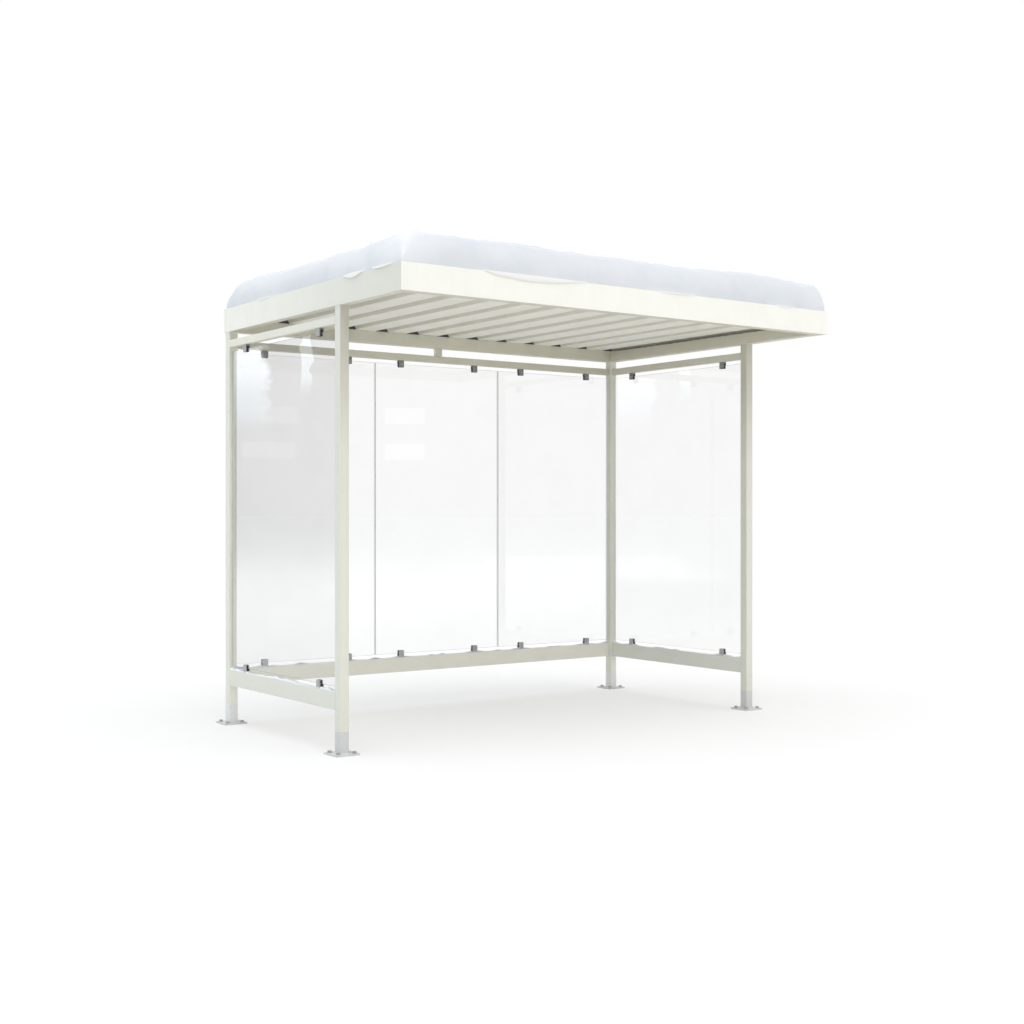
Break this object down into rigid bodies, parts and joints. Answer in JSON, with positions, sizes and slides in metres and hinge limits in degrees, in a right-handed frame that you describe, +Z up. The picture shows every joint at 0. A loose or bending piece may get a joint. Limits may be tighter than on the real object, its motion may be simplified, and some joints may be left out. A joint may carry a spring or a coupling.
{
  "type": "smoking shelter",
  "caption": "Open-fronted steel shelter with glass back and ends, a cantilevered tray roof of ribbed sheet under settled snow, on bolted post feet.",
  "frame": {"origin": "centre of the whole footprint, from the roof's front edge to the back of the rear foot plates, level with the underside of the foot plates", "axes": "+Z up, +X to the right of a person who faces the open front, -Y out of the open front"},
  "size_m": [2.775, 1.8724, 2.388],
  "materials": {
    "frame_paint": "off-white powder coat, satin; the stretch of post below the ground line is bare zinc grey",
    "roof_sheet": "off-white coil coating, satin",
    "foot_plate": "matt light grey zinc",
    "clear_glass": "clear toughened glass with ground edges",
    "glass_clamp": "satin grey cast clamps",
    "clamp_rubber": "black rubber, matt",
    "snow": "settled snow, matt white with a blue cast"
  },
  "bodies": {
    "root": {"base_plate_front_left": "foot_plate", "base_plate_front_right": "foot_plate", "base_plate_back_left": "foot_plate", "base_plate_back_right": "foot_plate", "post_front_left": "frame_paint", "post_front_right": "frame_paint", "post_back_left": "frame_paint", "post_back_right": "frame_paint", "lower_rail_back": "frame_paint", "lower_rail_left": "frame_paint", "lower_rail_right": "frame_paint", "upper_rail_back": "frame_paint", "upper_rail_left": "frame_paint", "upper_rail_right": "frame_paint", "rail_hanger": "frame_paint", "roof_beam_front": "frame_paint", "roof_beam_back": "frame_paint", "roof_beam_left": "frame_paint", "roof_beam_right": "frame_paint", "fascia_front": "frame_paint", "fascia_back": "frame_paint", "fascia_left": "frame_paint", "fascia_right": "frame_paint", "roof_sheet_left": "roof_sheet", "roof_sheet_middle": "roof_sheet", "roof_sheet_right": "roof_sheet", "glass_back_left": "clear_glass", "glass_back_middle": "clear_glass", "glass_back_right": "clear_glass", "glass_left": "clear_glass", "glass_right": "clear_glass", "clamps_back_left": "glass_clamp", "clamps_back_middle": "glass_clamp", "clamps_back_right": "glass_clamp", "clamps_left": "glass_clamp", "clamps_right": "glass_clamp", "clamp_pads_back_left": "clamp_rubber", "clamp_pads_back_middle": "clamp_rubber", "clamp_pads_back_right": "clamp_rubber", "clamp_pads_left": "clamp_rubber", "clamp_pads_right": "clamp_rubber", "roof_snow": "snow", "rail_snow_back": "snow", "rail_snow_left": "snow", "rail_snow_right": "snow"}
  },
  "joints": []
}
